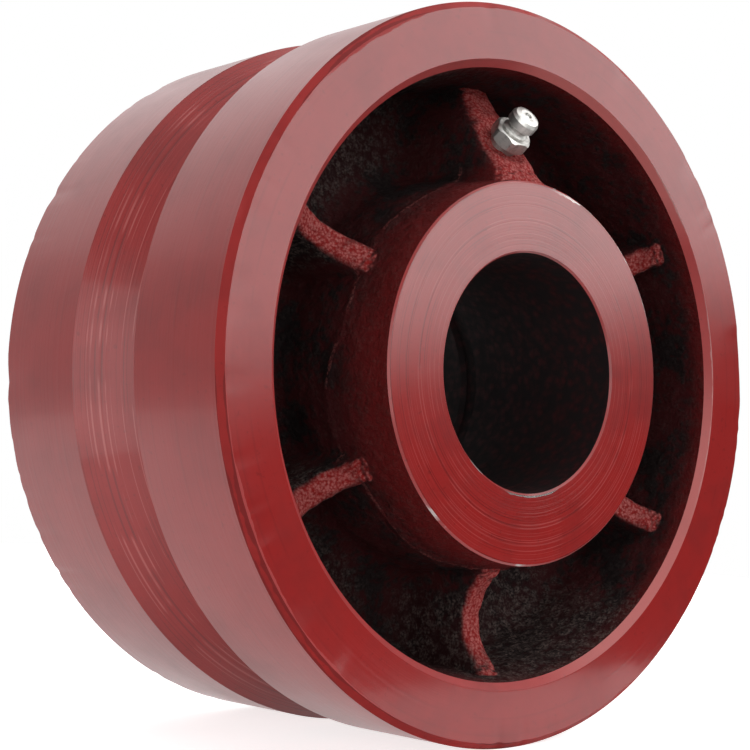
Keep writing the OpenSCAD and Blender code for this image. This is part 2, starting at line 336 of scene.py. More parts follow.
def raise_ribs(s, r, z, angle, boss):
    """Height of the recess at each point with its ribs, and the boss on the fitting side."""
    off = off_rib(s, angle)
    across, along = r * np.sin(off), r * np.cos(off)
    span = s.rim_in_radius - s.hub_radius
    t = np.clip((along - s.hub_radius) / span, 0, 1)
    crest = s.web_half + (
        (1 - t) * (1 - 2 * t) * s.rib_hub_height
        + 4 * t * (1 - t) * s.rib_mid_height
        + t * (2 * t - 1) * s.rib_rim_height
    )
    high = soft_max(z, crest - rounded_drop(s, across, s.rib_width / 2), 1.6 * MM)
    if not boss:
        return high
    top = np.abs((angle - math.pi / 2 + math.pi) % (2 * math.pi) - math.pi) < math.pi / s.rib_count
    half = np.interp(
        along,
        (s.hub_radius - 3 * MM, s.hub_radius + span / 2, s.rim_in_radius + MM),
        (s.boss_width / 2, s.boss_width / 2 * 0.95, s.rib_width / 2),
    )
    inward = s.boss_fillet - np.clip(r - s.hub_radius, 0, s.boss_fillet)
    half = half + s.boss_fillet - np.sqrt(s.boss_fillet**2 - inward**2)
    # The boss face is square to the passage, which starts on the bore's wall in the grease groove.
    sin, cos = math.sin(s.passage_tilt), math.cos(s.passage_tilt)
    reach = (s.hub_half - s.boss_drop + s.oil_groove_back) * cos + (s.hub_radius - s.bore_radius) * sin
    face = (reach - (along - s.bore_radius) * sin) / cos
    seat = reach - s.spot_depth
    slope = (along - s.bore_radius - seat * sin) * cos - (face - seat * cos) * sin
    inside = np.clip((s.spot_radius - np.hypot(across, slope)) / (0.5 * MM), 0, 1)
    face = np.minimum(face - s.oil_groove_back, s.hub_half - 2 * s.hub_bevel) - inside * s.spot_depth / cos
    face = face - rounded_drop(s, across, half)
    return np.where(top, soft_max(z, face, 1.2 * MM), high)


def cast_noise(points, scale, seed):
    """Smooth noise at each point, about -1 to 1."""
    shift = Vector((seed * 13.7, seed * 5.1, seed * 9.3))
    return np.array([noise.noise(Vector(p) * scale + shift) for p in points])


def object_from(name, vertices, faces, materials=()):
    """A mesh object with smooth faces in the scene."""
    mesh = bpy.data.meshes.new(name)
    mesh.from_pydata(vertices, [], faces)
    mesh.validate()
    mesh.shade_smooth()
    for material in materials:
        mesh.materials.append(material)
    piece = bpy.data.objects.new(name, mesh)
    bpy.context.scene.collection.objects.link(piece)
    return piece


def node(tree, kind, inputs=None, **settings):
    """A shader node with its settings and its inputs: values, or sockets to link."""
    made = tree.nodes.new(kind)
    for key, value in settings.items():
        setattr(made, key, value)
    for key, value in (inputs or {}).items():
        if isinstance(value, bpy.types.NodeSocket):
            tree.links.new(value, made.inputs[key])
        else:
            made.inputs[key].default_value = value
    return made


def math_node(tree, operation, a, b=0.0, c=0.0):
    """The output of a math node."""
    return node(tree, "ShaderNodeMath", {0: a, 1: b, 2: c}, operation=operation).outputs[0]


def times(tree, a, b):
    """The product of two values, as a socket."""
    return math_node(tree, "MULTIPLY", a, b)


def larger(tree, a, b):
    """The larger of two values, as a socket."""
    return math_node(tree, "MAXIMUM", a, b)


def minus(tree, a, b):
    """The difference of two values, as a socket."""
    return math_node(tree, "SUBTRACT", a, b)


def noise_at(tree, point, scale, detail, rough=0.5):
    """Cloudy noise at a point, as a socket."""
    inputs = {"Vector": point, "Scale": scale, "Detail": detail, "Roughness": rough}
    return node(tree, "ShaderNodeTexNoise", inputs).outputs[0]


def ramp(tree, value, low, high, out_low=0.0, out_high=1.0):
    """A smooth step of a value, as a socket."""
    return node(
        tree, "ShaderNodeMapRange",
        {"Value": value, "From Min": low, "From Max": high, "To Min": out_low, "To Max": out_high},
        interpolation_type="SMOOTHSTEP",
    ).outputs["Result"]


def mix(tree, factor, a, b):
    """A mix of two colours, as a socket."""
    made = tree.nodes.new("ShaderNodeMix")
    made.data_type = "RGBA"
    for key, value in ((0, factor), (6, a), (7, b)):
        if isinstance(value, bpy.types.NodeSocket):
            tree.links.new(value, made.inputs[key])
        elif key == 0:
            made.inputs[key].default_value = value
        else:
            made.inputs[key].default_value = (*value[:3], 1)
    return made.outputs[2]


def effect(name, inputs, outputs):
    """An empty node group with its sockets; returns the tree, its input node and its output node."""
    tree = bpy.data.node_groups.new(name, "ShaderNodeTree")
    for label, kind, value in inputs:
        socket = tree.interface.new_socket(label, in_out="INPUT", socket_type=kind)
        if value is not None:
            socket.default_value = value
    for label, kind in outputs:
        tree.interface.new_socket(label, in_out="OUTPUT", socket_type=kind)
    return tree, tree.nodes.new("NodeGroupInput"), tree.nodes.new("NodeGroupOutput")


FLOAT, COLOUR, VECTOR = "NodeSocketFloat", "NodeSocketColor", "NodeSocketVector"


def polar_place():
    """Group: radius from the axle, distance along it and angle round it."""
    outputs = [("Point", VECTOR), ("Radius", FLOAT), ("Along", FLOAT), ("Angle", FLOAT)]
    tree, _, out = effect("polar_place", [], outputs)
    point = node(tree, "ShaderNodeTexCoord").outputs["Object"]
    part = node(tree, "ShaderNodeSeparateXYZ", {0: point}).outputs
    squares = math_node(tree, "ADD", times(tree, part[0], part[0]), times(tree, part[2], part[2]))
    tree.links.new(point, out.inputs["Point"])
    tree.links.new(math_node(tree, "SQRT", squares), out.inputs["Radius"])
    tree.links.new(part[1], out.inputs["Along"])
    tree.links.new(math_node(tree, "ARCTAN2", part[2], part[0]), out.inputs["Angle"])
    return tree


def enamel_mottle():
    """Group: enamel that varies softly, with thin dark specks."""
    tree, given, out = effect(
        "enamel_mottle",
        [("Point", VECTOR, None), ("Enamel", COLOUR, (0.3, 0.02, 0.02, 1)),
         ("Dark", COLOUR, (0.1, 0.01, 0.01, 1)), ("Amount", FLOAT, 0.5), ("Base Roughness", FLOAT, 0.35)],
        [("Colour", COLOUR), ("Roughness", FLOAT)],
    )
    broad = noise_at(tree, given.outputs["Point"], 60.0, 4.0, 0.6)
    fine = noise_at(tree, given.outputs["Point"], 900.0, 2.0)
    cloud = times(tree, ramp(tree, broad, 0.42, 0.75), given.outputs["Amount"])
    specks = times(tree, ramp(tree, fine, 0.62, 0.75), given.outputs["Amount"])
    colour = mix(tree, larger(tree, cloud, specks), given.outputs["Enamel"], given.outputs["Dark"])
    tree.links.new(colour, out.inputs["Colour"])
    rough = math_node(tree, "MULTIPLY_ADD", broad, 0.16, given.outputs["Base Roughness"])
    tree.links.new(rough, out.inputs["Roughness"])
    return tree


def turning_marks():
    """Group: fine rings left by the lathe, as a height, as dark lines and as pale ones."""
    tree, given, out = effect(
        "turning_marks",
        [("Point", VECTOR, None), ("Across", FLOAT, 0.0), ("Rings Per Metre", FLOAT, 1500.0)],
        [("Height", FLOAT), ("Lines", FLOAT), ("Pale", FLOAT)],
    )
    drift = noise_at(tree, given.outputs["Point"], 14.0, 1.0)
    place = times(tree, given.outputs["Across"], given.outputs["Rings Per Metre"])
    place = math_node(tree, "MULTIPLY_ADD", drift, 0.8, place)
    inputs = {"W": place, "Scale": 1.0, "Detail": 3.0, "Roughness": 0.65}
    rings = node(tree, "ShaderNodeTexNoise", inputs, noise_dimensions="1D").outputs[0]
    broken = noise_at(tree, given.outputs["Point"], 70.0, 2.0)
    lines = times(tree, ramp(tree, rings, 0.56, 0.64), ramp(tree, broken, 0.40, 0.56))
    pale = times(tree, ramp(tree, rings, 0.43, 0.36), ramp(tree, broken, 0.58, 0.44))
    tree.links.new(rings, out.inputs["Height"])
    tree.links.new(lines, out.inputs["Lines"])
    tree.links.new(pale, out.inputs["Pale"])
    return tree


def cast_grain():
    """Group: the grain of a sand-cast skin, as a height and as a mask of its high spots, where the recess
    paints its glints.
    """
    tree, given, out = effect(
        "cast_grain",
        [("Point", VECTOR, None), ("Grain", FLOAT, 700.0)],
        [("Height", FLOAT), ("Peaks", FLOAT)],
    )
    grain = noise_at(tree, given.outputs["Point"], given.outputs["Grain"], 5.0, 0.7)
    inputs = {"Vector": given.outputs["Point"], "Scale": given.outputs["Grain"]}
    lumps = node(tree, "ShaderNodeTexVoronoi", inputs).outputs[0]
    height = math_node(tree, "MULTIPLY_ADD", lumps, -0.5, grain)
    tree.links.new(height, out.inputs["Height"])
    tree.links.new(ramp(tree, grain, 0.62, 0.78), out.inputs["Peaks"])
    return tree


def edge_chips():
    """Group: a ragged mask near an edge, where the enamel is knocked off."""
    tree, given, out = effect(
        "edge_chips",
        [("Point", VECTOR, None), ("Distance", FLOAT, 0.01), ("Width", FLOAT, 0.001),
         ("Ragged", FLOAT, 300.0)],
        [("Mask", FLOAT)],
    )
    slow = noise_at(tree, given.outputs["Point"], 38.0, 2.0)
    quick = noise_at(tree, given.outputs["Point"], given.outputs["Ragged"], 3.0)
    reach = times(tree, ramp(tree, slow, 0.40, 0.68), given.outputs["Width"])
    reach = times(tree, reach, times(tree, quick, 2.0))
    mask = minus(tree, reach, given.outputs["Distance"])
    tree.links.new(ramp(tree, mask, 0.0, 0.00012), out.inputs["Mask"])
    return tree


class Finish:
    """A material under construction, with the wheel's polar place at hand."""

    def __init__(self, name, groups):
        self.material = bpy.data.materials.new(name)
        self.material.use_nodes = True
        self.tree = self.material.node_tree
        self.shader = self.tree.nodes["Principled BSDF"]
        self.groups = groups
        self.place = self.use("polar_place").outputs
        self.point = self.place["Point"]

    def use(self, name, inputs=None):
        """Places one of the shared effects."""
        made = self.tree.nodes.new("ShaderNodeGroup")
        made.node_tree = self.groups[name]
        for key, value in (inputs or {}).items():
            if isinstance(value, bpy.types.NodeSocket):
                self.tree.links.new(value, made.inputs[key])
            else:
                made.inputs[key].default_value = value
        return made

    def set(self, **values):
        """Sets or links inputs of the shader; underscores stand for spaces."""
        for key, value in values.items():
            socket = self.shader.inputs[key.replace("_", " ")]
            if isinstance(value, bpy.types.NodeSocket):
                self.tree.links.new(value, socket)
            else:
                socket.default_value = value

    def bump(self, height, strength, distance, under=None):
        """A bump in metres, over another one if given."""
        inputs = {"Height": height, "Strength": strength, "Distance": distance}
        if under is not None:
            inputs["Normal"] = under
        return node(self.tree, "ShaderNodeBump", inputs).outputs[0]

    def peel(self):
        """Height of the fine grain of sprayed enamel."""
        inputs = {"Vector": self.point, "Scale": 1300.0, "Detail": 3.0, "Roughness": 0.6}
        return node(self.tree, "ShaderNodeTexNoise", inputs).outputs[0]

    def rings(self, across, per_metre):
        """Lathe rings across the radius or along the axle."""
        inputs = {"Point": self.point, "Across": self.place[across], "Rings Per Metre": per_metre}
        return self.use("turning_marks", inputs).outputs

    def grain(self, per_metre):
        """Grain of the cast skin."""
        return self.use("cast_grain", {"Point": self.point, "Grain": per_metre}).outputs

    def tinted(self, colour, mask, share, other):
        """A colour that goes over to another one by a share of a mask."""
        return mix(self.tree, times(self.tree, mask, share), colour, other)

    def enamel(self, colours, amount, rough):
        """Colour and roughness of the enamel."""
        made = self.use("enamel_mottle", {
            "Point": self.point, "Enamel": (*colours.enamel, 1), "Dark": (*colours.enamel_dark, 1),
            "Amount": amount, "Base Roughness": rough,
        })
        return made.outputs["Colour"], made.outputs["Roughness"]

    def beside(self, *zones):
        """1 near the middle of one of the zones round the wheel, and 0 outside them."""
        found = None
        for degrees, spread in zones:
            off = math_node(self.tree, "COSINE", minus(self.tree, self.place["Angle"], math.radians(degrees)))
            mask = ramp(self.tree, off, math.cos(math.radians(spread)), math.cos(math.radians(spread / 2)))
            found = mask if found is None else larger(self.tree, found, mask)
        return found

    def chips(self, edge, width, ragged=300.0):
        """Mask of ragged chips near a radius."""
        gap = math_node(self.tree, "ABSOLUTE", minus(self.tree, self.place["Radius"], edge))
        inputs = {"Point": self.point, "Distance": gap, "Width": width, "Ragged": ragged}
        return self.use("edge_chips", inputs).outputs["Mask"]

    def wear(self, mask, colour, rough, colours, shine=0.9):
        """Bare iron where the mask is 1: sets colour, roughness and metal."""
        self.set(
            Base_Color=mix(self.tree, mask, colour, colours.bare_metal_and_glint),
            Roughness=math_node(self.tree, "MULTIPLY_ADD", mask, 0.5 - 0.5 * shine, rough),
            Metallic=times(self.tree, mask, shine),
        )


def dress_bore(bore, s, colours):
    """Bore's wall, painted near-black with a reddish grain as the shade inside the bore."""
    grain = bore.grain(500.0)
    reddish = ramp(bore.tree, grain["Height"], 0.1, 0.7)
    bore.set(
        Base_Color=mix(bore.tree, reddish, colours.deep_shade, colours.shaded_cast_skin),
        Roughness=ramp(bore.tree, grain["Height"], 0.0, 0.8, 0.7, 0.5), IOR=1.2,
        Normal=bore.bump(grain["Height"], 0.5, 0.0002),
    )


def dress_hub(hub, s, colours):
    """Turned and enamelled hub face, chipped at its edges."""
    colour, rough = hub.enamel(colours, 0.4, 0.07)
    marks = hub.rings("Radius", 2300.0)
    colour = hub.tinted(colour, marks["Lines"], 0.7, colours.enamel_dark)
    colour = hub.tinted(colour, marks["Pale"], 0.26, colours.pale_and_lit_enamel)
    sides = hub.beside(HUB_CHIPS, HUB_NICK)
    outer = times(hub.tree, hub.chips(s.hub_radius, 0.0008), sides)
    inner = times(hub.tree, hub.chips(s.bore_radius, 0.0010), hub.beside(BORE_CHIPS))
    hub.wear(larger(hub.tree, outer, inner), colour, rough, colours)
    hub.set(Normal=hub.bump(hub.peel(), 0.25, 0.00003, hub.bump(marks["Height"], 0.22, 0.00012)))


def dress_edge(edge, s, colours):
    """Broken edges of the hub face."""
    colour, rough = edge.enamel(colours, 0.7, 0.3)
    slow = noise_at(edge.tree, edge.point, 110.0, 3.0)
    sides = edge.beside(HUB_EDGE_CHIPS, HUB_EDGE_NICKS)
    edge.wear(times(edge.tree, ramp(edge.tree, slow, 0.62, 0.69), sides), colour, rough, colours)


def dress_recess(recess, s, colours):
    """Sand-cast recess, painted dark as its shade: redder near its opening where light falls in, with painted
    highlights on the rib crests and along the seam, and pale grit and glints painted as light in the lit
    pockets.
    """
    tree, place = recess.tree, recess.place
    grain = recess.grain(620.0)
    cloud = noise_at(tree, recess.point, 95.0, 4.0)
    depth = math_node(tree, "ABSOLUTE", place["Along"])
    mottled = math_node(tree, "MULTIPLY_ADD", grain["Height"], 0.5, cloud)
    # Painted shade: the sand-cast skin is near-black red for the shade of the recess, mottled at random.
    skin = mix(tree, ramp(tree, mottled, 0.54, 0.74), colours.shaded_cast_skin, colours.deep_shade)
    near_hub = ramp(tree, place["Radius"], s.hub_radius + 0.005, s.hub_radius + 0.003)
    near_face = larger(tree, near_hub, ramp(tree, depth, 0.031, 0.036))
    # Painted light: near the opening, on the hub wall and high on the walls, the skin is painted a redder
    # enamel where light falls in, and stays dark deeper in.
    lit_near_opening = times(tree, ramp(tree, depth, 0.024, 0.041), near_face)
    skin = mix(tree, times(tree, lit_near_opening, 0.75), skin, colours.enamel_dark)
    # Painted highlight: rib crests near the front that face along the axle are painted pale, as where the
    # light falls on them.
    normal = node(tree, "ShaderNodeNewGeometry").outputs["Normal"]
    facing = math_node(tree, "ABSOLUTE", node(tree, "ShaderNodeSeparateXYZ", {0: normal}).outputs[1])
    crest = times(tree, ramp(tree, facing, 0.38, 0.92), ramp(tree, depth, 0.0205, 0.0235))
    sand = recess.grain(1700.0)
    pale_and_lit_enamel = mix(tree, ramp(tree, sand["Height"], 0.06, 0.48), colours.enamel, colours.pale_and_lit_enamel)
    skin = mix(tree, times(tree, crest, 0.9), skin, pale_and_lit_enamel)
    # Painted highlight: a thin broken pale line painted along the seam bead on the hub wall.
    turn = math_node(tree, "MULTIPLY_ADD", place["Angle"], SEAM_WAVES, SEAM_WAVE_START)
    wave = math_node(tree, "SINE", turn)
    ripple = math_node(tree, "SINE", times(tree, place["Angle"], SEAM_RIPPLES))
    level = math_node(tree, "MULTIPLY_ADD", ripple, SEAM_RIPPLE, SEAM_HEIGHT)
    level = math_node(tree, "MULTIPLY_ADD", wave, SEAM_WAVE, level)
    gap = math_node(tree, "ABSOLUTE", minus(tree, depth, level))
    seam = times(tree, ramp(tree, gap, 0.0006, 0.0002), near_hub)
    seam = times(tree, seam, ramp(tree, cloud, 0.40, 0.58))
    seam = times(tree, seam, ramp(tree, sand["Height"], 0.05, 0.4))
    skin = mix(tree, times(tree, seam, 0.25), skin, colours.pale_and_lit_enamel)
    # The pockets where light falls in, by angle round the wheel and away from the hub.
    lit_pockets = recess.beside(LIT_POCKET_UPPER, LIT_POCKET_LOWER, LIT_POCKET_BOTTOM)
    off_hub = ramp(tree, place["Radius"], s.hub_radius + 0.004, s.hub_radius + 0.010)
    lit_pockets = times(tree, lit_pockets, off_hub)
    shown = minus(tree, 1.0, crest)
    # Painted shade: in the lit pockets the skin off the crests is darkened between the grains.
    skin = mix(tree, times(tree, times(tree, lit_pockets, shown), 0.6), skin, colours.deep_shade)
    lit_pockets = math_node(tree, "MULTIPLY_ADD", lit_pockets, 0.75, 0.12)
    # Painted light: pale sand crumbs, faint everywhere and strong in the lit pockets.
    crumbs = times(tree, ramp(tree, sand["Height"], 0.05, 0.45), ramp(tree, grain["Height"], 0.02, 0.46))
    skin = mix(tree, times(tree, times(tree, crumbs, lit_pockets), shown), skin, colours.lit_sand_crumb)
    # Painted highlights: grey-white glints on the grain's high spots, mostly in the lit pockets.
    glints = times(tree, larger(tree, grain["Peaks"], sand["Peaks"]), ramp(tree, cloud, 0.40, 0.60))
    skin = mix(tree, times(tree, times(tree, glints, lit_pockets), 0.2), skin, colours.bare_metal_and_glint)
    recess.set(
        Base_Color=skin, Roughness=ramp(tree, grain["Height"], 0.0, 0.8, 0.78, 0.55), IOR=1.16,
        Metallic=times(tree, glints, 0.15),
        Normal=recess.bump(sand["Height"], 0.9, 0.0003, recess.bump(grain["Height"], 0.9, 0.0006)),
    )


def dress_bevel(bevel, s, colours):
    """Inner bevel of the rim face, with painted highlight bands and a few chips."""
    colour, rough = bevel.enamel(colours, 0.5, 0.5)
    # Painted highlight: pale bands in two zones round the wheel, where the bevel faces the light.
    pale = bevel.beside(BEVEL_LIT_LOW, BEVEL_LIT_HIGH)
    colour = bevel.tinted(colour, pale, 0.5, colours.pale_and_lit_enamel)
    worn = times(bevel.tree, bevel.chips(s.rim_in_radius, 0.0003, 420.0), bevel.beside(BEVEL_CHIPS))
    worn = times(bevel.tree, worn, 0.35)
    bevel.wear(worn, colour, rough, colours)


def dress_face(face, s, colours):
    """Enamelled rim face with a ragged outer edge."""
    colour, rough = face.enamel(colours, 0.35, 0.09)
    marks = face.rings("Radius", 700.0)
    colour = face.tinted(colour, marks["Lines"], 0.18, colours.enamel_dark)
    ragged = face.chips(s.tread_radius - s.tread_bevel, 0.0008, 260.0)
    matt = times(face.tree, ragged, face.beside(FACE_RAGGED_TOP, FACE_RAGGED_LEFT))
    colour = mix(face.tree, matt, colour, colours.enamel)
    face.set(
        Base_Color=colour, Roughness=math_node(face.tree, "MULTIPLY_ADD", matt, 0.6, rough),
        Coat_Weight=math_node(face.tree, "MULTIPLY_ADD", matt, -0.3, 0.3),
    )
    face.set(Normal=face.bump(face.peel(), 0.25, 0.00003, face.bump(marks["Height"], 0.2, 0.0001)))


def dress_rim(rim, s, colours):
    """Outer edge of the rim face."""
    rim.set(IOR=1.25)
    colour, rough = rim.enamel(colours, 0.5, 0.55)
    outer, inner = rim.chips(s.tread_radius, 0.0006), rim.chips(s.tread_radius - s.tread_bevel, 0.0008)
    lines = larger(rim.tree, outer, inner)
    colour = rim.tinted(colour, lines, 0.7, colours.enamel_dark)
    slow = noise_at(rim.tree, rim.point, 42.0, 4.0)
    spots = times(rim.tree, rim.beside(RIM_SPOT_LEFT, RIM_SPOT_TOP), 0.28)
    rim.wear(times(rim.tree, ramp(rim.tree, slow, 0.47, 0.56), spots), colour, rough, colours, 0.1)


def dress_tread(tread, s, colours):
    """Enamelled tread."""
    colour, rough = tread.enamel(colours, 0.35, 0.24)
    marks = tread.rings("Along", 800.0)
    colour = tread.tinted(colour, marks["Lines"], 0.2, colours.enamel_dark)
    tread.set(Base_Color=colour, Roughness=rough)
    tread.set(Normal=tread.bump(tread.peel(), 0.4, 0.00003, tread.bump(marks["Height"], 0.25, 0.0001)))


def dress_groove(groove, s, colours):
    """Turned track groove."""
    colour, rough = groove.enamel(colours, 0.4, 0.26)
    marks = groove.rings("Along", 1900.0)
    colour = groove.tinted(colour, marks["Lines"], 0.6, colours.enamel_dark)
    colour = groove.tinted(colour, marks["Pale"], 0.5, colours.pale_and_lit_enamel)
    groove.set(Base_Color=colour, Roughness=rough, Normal=groove.bump(marks["Height"], 0.6, 0.00015))


def wheel_materials(s, colours):
    """One material for each region of the casting's skin, in the order of the regions."""
    effects = (polar_place(), enamel_mottle(), turning_marks(), cast_grain(), edge_chips())
    groups = {made.name: made for made in effects}
    looks = {
        BORE: ("bore_dark_iron", 0.0, dress_bore),
        HUB_FACE: ("hub_face_enamel", 0.65, dress_hub),
        HUB_EDGE: ("hub_edge_worn", 0.2, dress_edge),
        RECESS: ("recess_cast_skin", 0.0, dress_recess),
        RIM_BEVEL: ("rim_bevel_enamel", 0.0, dress_bevel),
        RIM_FACE: ("rim_face_enamel", 0.0, dress_face),
        TREAD_EDGE: ("tread_edge_worn", 0.0, dress_rim),
        TREAD: ("tread_enamel", 0.15, dress_tread),
        GROOVE: ("groove_turned_enamel", 0.25, dress_groove),
    }
    materials = []
    for region in sorted(looks):
        name, coat, dress = looks[region]
        finish = Finish(name, groups)
        finish.set(Coat_Weight=coat, Coat_Roughness=0.1, IOR=1.45)
        dress(finish, s, colours)
        materials.append(finish.material)
    return materials


def fitting_materials(colours):
    """Plating of the fitting, polish of the ball and the drawn wire of the spring."""
    finishes = []
    for name, tone, rough, scale in (
        ("fitting_zinc_plate", colours.plated, 0.40, 700.0),
        ("check_ball_polish", (0.75, 0.75, 0.74), 0.12, 900.0),
        ("check_spring_wire", colours.wire, 0.32, 1500.0),
    ):
        material = bpy.data.materials.new(name)
        material.use_nodes = True
        tree = material.node_tree
        shader = tree.nodes["Principled BSDF"]
        point = node(tree, "ShaderNodeTexCoord").outputs["Object"]
        cloud = noise_at(tree, point, scale, 4.0)
        dull = tuple(0.55 * value for value in tone)
        tree.links.new(mix(tree, ramp(tree, cloud, 0.45, 0.72), tone, dull), shader.inputs["Base Color"])
        tree.links.new(math_node(tree, "MULTIPLY_ADD", cloud, 0.22, rough - 0.08), shader.inputs["Roughness"])
        bump = node(tree, "ShaderNodeBump", {"Height": cloud, "Strength": 0.25, "Distance": 0.0001})
        tree.links.new(bump.outputs[0], shader.inputs["Normal"])
        shader.inputs["Metallic"].default_value = 1.0
        finishes.append(material)
    return finishes


class WHEEL_OT_casting(Operator):
    """Build the cast skin of the wheel, with its ribs, boss and rough recesses"""

    bl_idname = "track_wheel.casting"
    bl_label = "Cast Wheel"

    def execute(self, context):
        s = context.scene.wheel_sizes
        section = wheel_section(s)
        angles = rib_angles(s.rib_count, TURNS_PER_RIB)
        rings = np.array(section.points)
        regions = np.array(section.regions)
        count, turns = len(rings), len(angles)
        r = np.repeat(rings[None, :, 0], turns, 0)
        z = np.repeat(rings[None, :, 1], turns, 0)
        angle = np.repeat(angles[:, None], count, 1)
        cast = regions == RECESS
        for side in (1, -1):
            pick = np.flatnonzero(cast & (rings[:, 1] * side > 0))
            # The first and last ring of a recess are its machined edges, and stay.
            inner = pick[1:]
            z[:, inner] = side * raise_ribs(s, r[:, inner], side * z[:, inner], angle[:, inner], side > 0)
        self.seam(s, r, z, angle, cast)
        points = np.stack((r * np.cos(angle), -z, r * np.sin(angle)), -1)
        self.roughen(s, points, cast)
        self.nick(points, regions)
        faces = []
        for i in range(turns):
            a, b = i * count, (i + 1) % turns * count
            faces += [(a + j, b + j, b + (j + 1) % count, a + (j + 1) % count) for j in range(count)]
        finishes = wheel_materials(s, context.scene.wheel_finish)
        piece = object_from("wheel_cast_skin", points.reshape(-1, 3).tolist(), faces, finishes)
        mesh = piece.data
        mesh.polygons.foreach_set("material_index", np.tile(regions, turns).astype(np.int32))
        ends = np.empty(len(mesh.edges) * 2, np.int32)
        mesh.edges.foreach_get("vertices", ends)
        ring = ends.reshape(-1, 2) % count
        crisp = np.array(section.sharp)
        edge = mesh.attributes.new("sharp_edge", "BOOLEAN", "EDGE")
        edge.data.foreach_set("value", (ring[:, 0] == ring[:, 1]) & crisp[ring[:, 0]])
        mesh.update()
        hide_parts("wheel_casting")
        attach(piece, "wheel")
        return {"FINISHED"}

    @staticmethod
    def seam(s, r, z, angle, cast):
        """A thin uneven bead round the hub's wall, where the core met the mould."""
        level = SEAM_HEIGHT + SEAM_WAVE * np.sin(SEAM_WAVES * angle + SEAM_WAVE_START)
        level = level + SEAM_RIPPLE * np.sin(SEAM_RIPPLES * angle)
        near_hub = cast[None, :] & (r < s.hub_radius + 4 * MM) & (np.abs(z) > s.web_half + s.web_fillet)
        bead = np.exp(-(((np.abs(z) - level) / SEAM_WIDTH) ** 2))
        clear = np.clip((np.abs(r * np.sin(off_rib(s, angle))) - s.rib_width / 2 - MM) / (2 * MM), 0, 1)
        r += np.where(near_hub, SEAM_BEAD * bead * clear, 0)

    @staticmethod
    def roughen(s, points, cast):
        """Pushes the recesses in and out along their normals, and leaves their edges."""
        around = np.roll(points, -1, 0) - np.roll(points, 1, 0)
        along = np.roll(points, -1, 1) - np.roll(points, 1, 1)
        normal = np.cross(along, around)
        normal /= np.linalg.norm(normal, axis=2, keepdims=True) + 1e-12
        picked = np.flatnonzero(cast)
        flat = points[:, picked].reshape(-1, 3)
        lift = sum(share * cast_noise(flat, scale, seed) for seed, (scale, share) in enumerate(CAST_LUMPS, 1))
        lift = lift.reshape(points.shape[0], -1)
        depth = s.rim_half - s.rim_bevel - np.abs(points[:, picked, 1])
        top = s.hub_half - s.hub_bevel - np.abs(points[:, picked, 1])
        hub_side = np.hypot(points[:, picked, 0], points[:, picked, 2]) < (s.hub_radius + s.rim_in_radius) / 2
        room = np.clip(np.where(hub_side, top, depth) / (3 * MM), 0, 1)
        points[:, picked] += normal[:, picked] * (lift * room * s.cast_relief)[:, :, None]

    @staticmethod
    def nick(points, regions):
        """Small dents along the outer edges of the rim faces."""
        picked = np.flatnonzero(regions == TREAD_EDGE)
        flat = points[:, picked].reshape(-1, 3)
        broad = np.clip(cast_noise(flat, 120.0, 5) - 0.25, 0, 1)
        small = np.clip(cast_noise(flat, 400.0, 6) - 0.2, 0, 1)
        dent = (broad + 0.5 * small).reshape(points.shape[0], -1, 1) * 0.6 * MM
        inward = points[:, picked] * np.array((1, 0, 1))
        inward /= np.linalg.norm(inward, axis=2, keepdims=True)
        inward = inward + np.sign(points[:, picked, 1])[:, :, None] * np.array((0, 1, 0))
        points[:, picked] -= inward * dent


class WHEEL_OT_fitting(Operator):
    """Finish the grease fitting, its check ball and its spring"""

    bl_idname = "track_wheel.fitting"
    bl_label = "Grease Fitting"

    def execute(self, context):
        plate, polish, wire = fitting_materials(context.scene.wheel_finish)
        for name, material in (("grease_fitting_body", plate), ("check_ball", polish)):
            solid = frame["nodes"][name]
            solid.data.materials.clear()
            solid.data.materials.append(material)
        self.coil(wire, frame["record"]["behaviour"]["joints"][0]["axis"], 0.6 * MM)
        body = frame["nodes"]["grease_fitting_body"]
        bevel = body.modifiers.new("soft_edges", "BEVEL")
        bevel.width = 0.16 * MM
        bevel.segments = 3
        bevel.limit_method = "ANGLE"
        bevel.angle_limit = math.radians(25)
        bevel.harden_normals = True
        return {"FINISHED"}

    @staticmethod
    def coil(wire, press, end_turn):
        """The check spring: a welded, smooth copy of the part's coil in the drawn wire's finish, shown
        instead of the part.
        """
        mesh = frame["nodes"]["check_spring"].data.copy()
        build = bmesh.new()
        build.from_mesh(mesh)
        bmesh.ops.remove_doubles(build, verts=build.verts, dist=0.001 * MM)
        build.to_mesh(mesh)
        build.free()
        mesh.shade_smooth()
        mesh.materials.clear()
        mesh.materials.append(wire)
        piece = bpy.data.objects.new("check_spring_coil", mesh)
        bpy.context.scene.collection.objects.link(piece)
        low, high = (Vector(corner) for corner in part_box("check_spring"))
        middle, press = (low + high) / 2, Vector(press)
        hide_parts("check_spring")
        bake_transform(piece)


